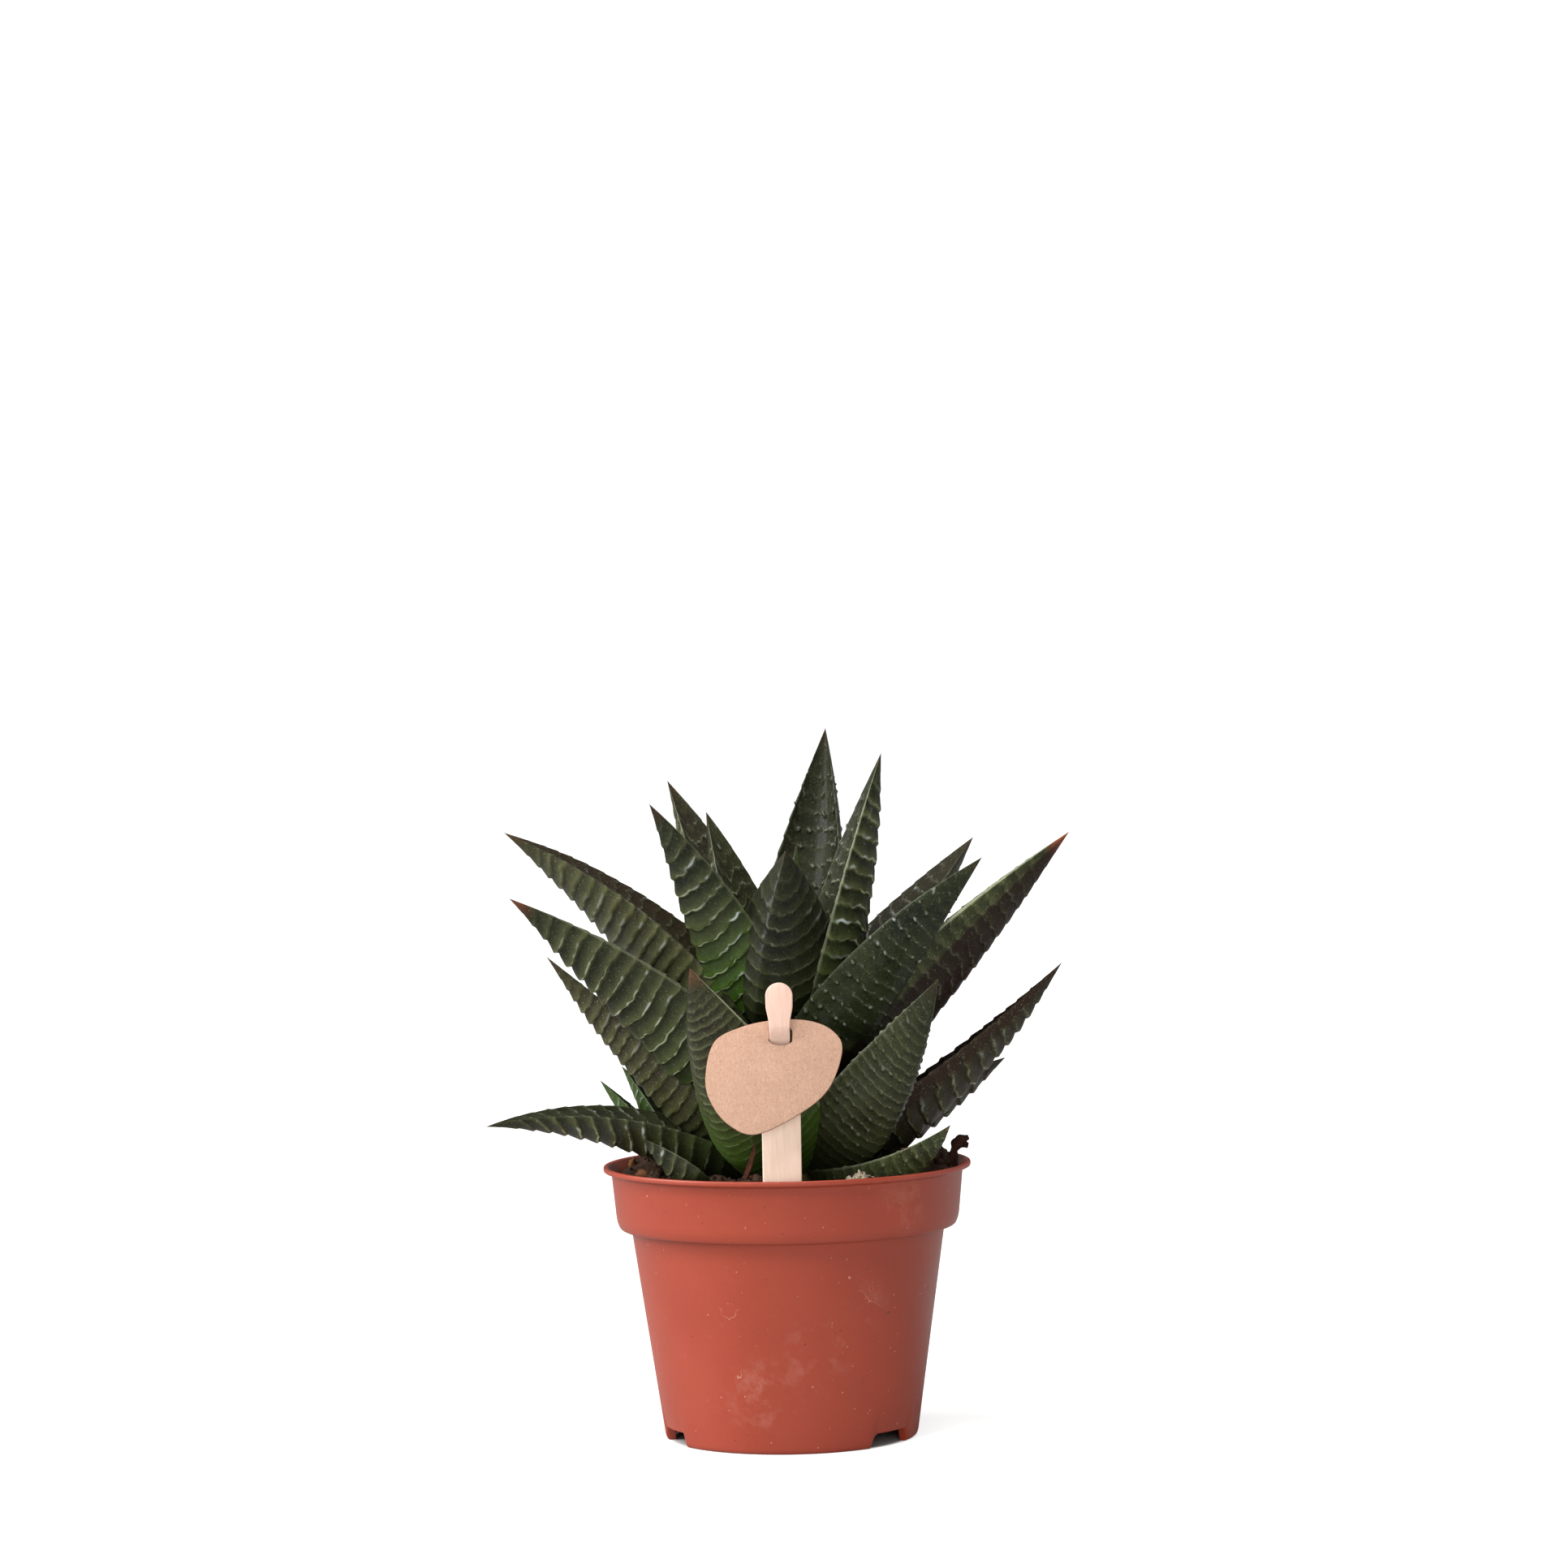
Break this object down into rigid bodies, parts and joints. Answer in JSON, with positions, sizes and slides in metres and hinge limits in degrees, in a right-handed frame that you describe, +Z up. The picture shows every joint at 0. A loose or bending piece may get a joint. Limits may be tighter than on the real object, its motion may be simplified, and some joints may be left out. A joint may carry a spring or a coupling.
{
  "type": "potted fairy washboard",
  "caption": "Small potted succulent: a rosette of stiff pointed leaves with raised cross ridges, in a round nursery pot with a wooden plant stick that holds a bare tag.",
  "frame": {"origin": "centre of the pot's base, on the surface that the pot stands on", "axes": "+Z up along the pot's axis, -Y towards the side with the plant stick and tag, +X to the right of someone who looks at that side"},
  "size_m": [0.0878, 0.0699, 0.1063],
  "materials": {
    "pot_plastic": "satin terracotta-coloured moulded plastic with fine scratches and pale lime marks",
    "compost": "moist dark peaty compost with crumbs and a few pale grit grains",
    "stem": "dull green-brown plant tissue",
    "leaf": "satin dark green, red-brown towards the tips, with paler raised cross ridges",
    "young_leaf": "satin bright green with paler raised cross ridges",
    "stick_wood": "bare pale birch with fine upright grain",
    "tag_card": "plain kraft card with fine fibres and specks",
    "bark": "rough dark brown bark"
  },
  "bodies": {
    "root": {"pot": "pot_plastic", "soil": "compost", "rootstock": "stem", "pup_rootstock": "stem", "leaf_01": "leaf", "leaf_02": "leaf", "leaf_03": "leaf", "leaf_04": "leaf", "leaf_05": "leaf", "leaf_06": "leaf", "leaf_07": "leaf", "leaf_08": "leaf", "leaf_09": "leaf", "leaf_10": "leaf", "leaf_11": "leaf", "leaf_12": "leaf", "leaf_13": "leaf", "leaf_14": "leaf", "leaf_15": "leaf", "leaf_16": "leaf", "leaf_17": "leaf", "leaf_18": "leaf", "leaf_19": "leaf", "leaf_20": "leaf", "leaf_21": "leaf", "leaf_22": "leaf", "leaf_23": "leaf", "leaf_24": "leaf", "pup_leaf_01": "young_leaf", "pup_leaf_02": "young_leaf", "pup_leaf_03": "young_leaf", "pup_leaf_04": "young_leaf", "stick": "stick_wood", "tag": "tag_card", "bark": "bark"}
  },
  "joints": []
}
